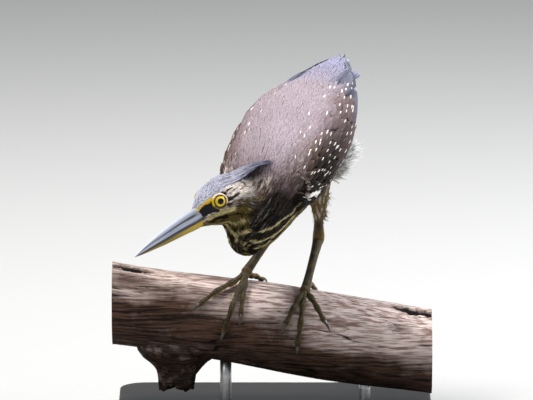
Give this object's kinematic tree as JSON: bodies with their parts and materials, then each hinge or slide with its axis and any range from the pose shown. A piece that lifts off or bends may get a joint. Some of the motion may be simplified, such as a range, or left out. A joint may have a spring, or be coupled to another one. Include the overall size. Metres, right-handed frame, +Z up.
{
  "type": "striated heron display model",
  "caption": "Life-size young heron crouched on a cut length of dead branch, head low and turned, on a flat base with short rods.",
  "frame": {"origin": "centre of the underside of the stand's base", "axes": "+Z up; the branch runs along X; the bird faces -Y, with its bill turned towards -X"},
  "size_m": [0.22, 0.2518, 0.2387],
  "materials": {
    "plumage_back": "hair-like unspotted mantle feathers, pinkish grey-brown with blue-grey edges",
    "plumage_wing": "dark brown wing coverts with buff edges and small white tips",
    "plumage_tail": "slate blue-grey tail and flight feathers",
    "plumage_crown": "slate blue-grey crown and crest with a soft sheen",
    "plumage_neck": "brown neck streaked with buff and cream",
    "plumage_down": "loose buff and white down",
    "bill_upper": "smooth slate horn",
    "bill_lower": "smooth olive-yellow horn",
    "eye": "yellow iris with a round black pupil, glossy",
    "leg_skin": "olive scales, yellower on the toes' sides",
    "claw": "dark horn",
    "wood": "weathered, barkless, with long grain and cracks",
    "base": "black satin lacquer",
    "rod": "brushed"
  },
  "bodies": {
    "root": {"perch_branch": "wood", "stand_base": "base", "stand_rod_left": "rod", "stand_rod_right": "rod", "trunk": "plumage_back", "tail": "plumage_tail", "wing_left": "plumage_wing", "wing_right": "plumage_wing", "vent_tuft_left": "plumage_down", "vent_tuft_right": "plumage_down", "head": "plumage_crown", "crest": "plumage_crown", "eye_left": "eye", "eye_right": "eye", "bill_upper": "bill_upper", "bill_lower": "bill_lower", "neck_upper": "plumage_neck", "neck_lower": "plumage_neck", "thigh_left": "plumage_down", "thigh_right": "plumage_down", "shank_left": "leg_skin", "shank_right": "leg_skin", "foot_left": "leg_skin", "foot_right": "leg_skin", "toe_left_inner": "leg_skin", "toe_left_middle": "leg_skin", "toe_left_outer": "leg_skin", "toe_left_hind": "leg_skin", "toe_right_inner": "leg_skin", "toe_right_middle": "leg_skin", "toe_right_outer": "leg_skin", "toe_right_hind": "leg_skin", "claw_left_inner": "claw", "claw_left_middle": "claw", "claw_left_outer": "claw", "claw_left_hind": "claw", "claw_right_inner": "claw", "claw_right_middle": "claw", "claw_right_outer": "claw", "claw_right_hind": "claw"}
  },
  "joints": []
}
